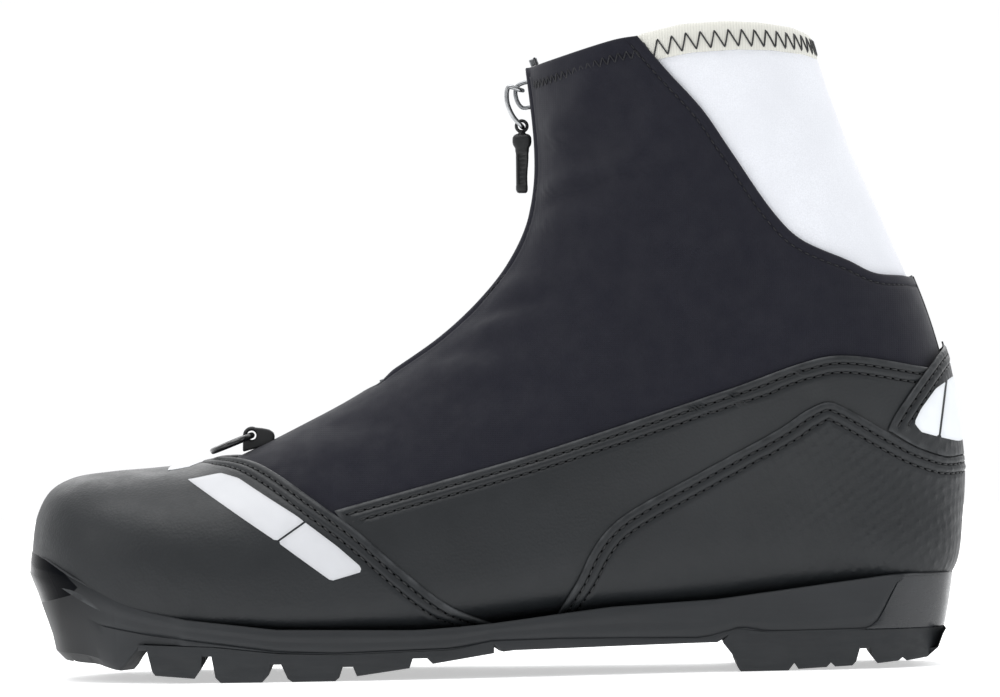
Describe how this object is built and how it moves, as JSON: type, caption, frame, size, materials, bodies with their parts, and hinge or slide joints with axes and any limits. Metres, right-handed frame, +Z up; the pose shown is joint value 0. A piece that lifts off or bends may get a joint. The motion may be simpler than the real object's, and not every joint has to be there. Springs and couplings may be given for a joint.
{
  "type": "cross country ski boot",
  "caption": "Left ankle-high cross country ski boot with zipped softshell cover, padded cuff, lugged sole and a toe bar that clips into a ski binding.",
  "frame": {"origin": "centre of the bounding box, on the ground plane under the sole", "axes": "+Z up, toe towards -X, heel towards +X, outer (lateral) side of the left boot towards -Y"},
  "size_m": [0.2982, 0.1048, 0.205],
  "materials": {
    "sole_shell": "moulded, satin",
    "tread_rubber": "matte moulded rubber",
    "bar_steel": "plain steel pin",
    "board": "pressed fibre board",
    "footbed_foam": "foam with cloth top",
    "upper_leather": "smooth synthetic leather, fine grain",
    "overlay_leather": "synthetic leather, embossed towards the back",
    "softshell": "bluish black stretch softshell",
    "cuff_fabric": "white brushed stretch cloth over foam",
    "binding_fabric": "off-white elastic edge tape",
    "lining": "dark fleece lining",
    "stiffener": "thermoformed stiffener",
    "eyestay_leather": "synthetic leather strip",
    "lace_cord": "round braided cord",
    "webbing": "narrow webbing",
    "zip_tape": "woven zip tape",
    "zip_coil": "nylon coil",
    "zip_metal": "dark plated metal",
    "link_metal": "dark polished metal",
    "tab_plastic": "moulded soft plastic",
    "ring_paint": "black coated wire",
    "holder_plastic": "moulded holder",
    "pale_film": "pale grey-white film",
    "reflective_film": "silver-white reflective film"
  },
  "bodies": {
    "boot": {"sole_chassis": "sole_shell", "forefoot_tread": "tread_rubber", "heel_tread": "tread_rubber", "toe_bar": "bar_steel", "lasting_board": "board", "footbed": "footbed_foam", "toe_cap": "upper_leather", "quarter_lateral": "upper_leather", "quarter_medial": "upper_leather", "heel_overlay": "overlay_leather", "heel_patch": "upper_leather", "cover_lateral": "softshell", "cover_medial": "softshell", "cuff": "cuff_fabric", "collar_binding": "binding_fabric", "liner": "lining", "tongue": "lining", "toe_puff": "stiffener", "heel_counter": "stiffener", "eyestay_lateral": "eyestay_leather", "eyestay_medial": "eyestay_leather", "lace": "lace_cord", "lace_loop_lateral_1": "webbing", "lace_loop_medial_1": "webbing", "lace_loop_lateral_2": "webbing", "lace_loop_medial_2": "webbing", "lace_loop_lateral_3": "webbing", "lace_loop_medial_3": "webbing", "lace_loop_lateral_4": "webbing", "lace_loop_medial_4": "webbing", "lace_loop_lateral_5": "webbing", "lace_loop_medial_5": "webbing", "zip_tape_lateral": "zip_tape", "zip_tape_medial": "zip_tape", "zip_coil_lateral": "zip_coil", "zip_coil_medial": "zip_coil", "zip_top_stop_lateral": "zip_metal", "zip_top_stop_medial": "zip_metal", "zip_bottom_stop": "zip_metal", "ring_holder": "holder_plastic", "toe_stripe_lateral_front": "pale_film", "toe_stripe_lateral_rear": "pale_film", "toe_stripe_medial_front": "pale_film", "toe_stripe_medial_rear": "pale_film", "toe_mark": "pale_film", "reflector_lateral_front": "reflective_film", "reflector_medial_front": "reflective_film", "reflector_rear": "reflective_film"},
    "slider": {"zip_slider": "zip_metal"},
    "link": {"zip_link": "link_metal"},
    "tab": {"pull_tab": "tab_plastic"},
    "ring": {"gaiter_ring": "ring_paint"}
  },
  "joints": [
    {"name": "zip_travel", "type": "hinge", "parent": "boot", "child": "slider", "pos_m": [-0.0596, 0, 0.167], "axis": [0, 1, 0], "range_deg": [0, 77]},
    {"name": "link_swing", "type": "hinge", "parent": "slider", "child": "link", "pos_m": [0.0104, 0, 0.1844], "axis": [0, 1, 0], "range_deg": [-3, 90]},
    {"name": "tab_swing", "type": "hinge", "parent": "link", "child": "tab", "pos_m": [0.0104, 0, 0.173], "axis": [0, 1, 0], "range_deg": [-5, 60]},
    {"name": "ring_swing", "type": "hinge", "parent": "boot", "child": "ring", "pos_m": [-0.0772, 0, 0.0764], "axis": [0, 1, 0], "range_deg": [0, 115]}
  ]
}
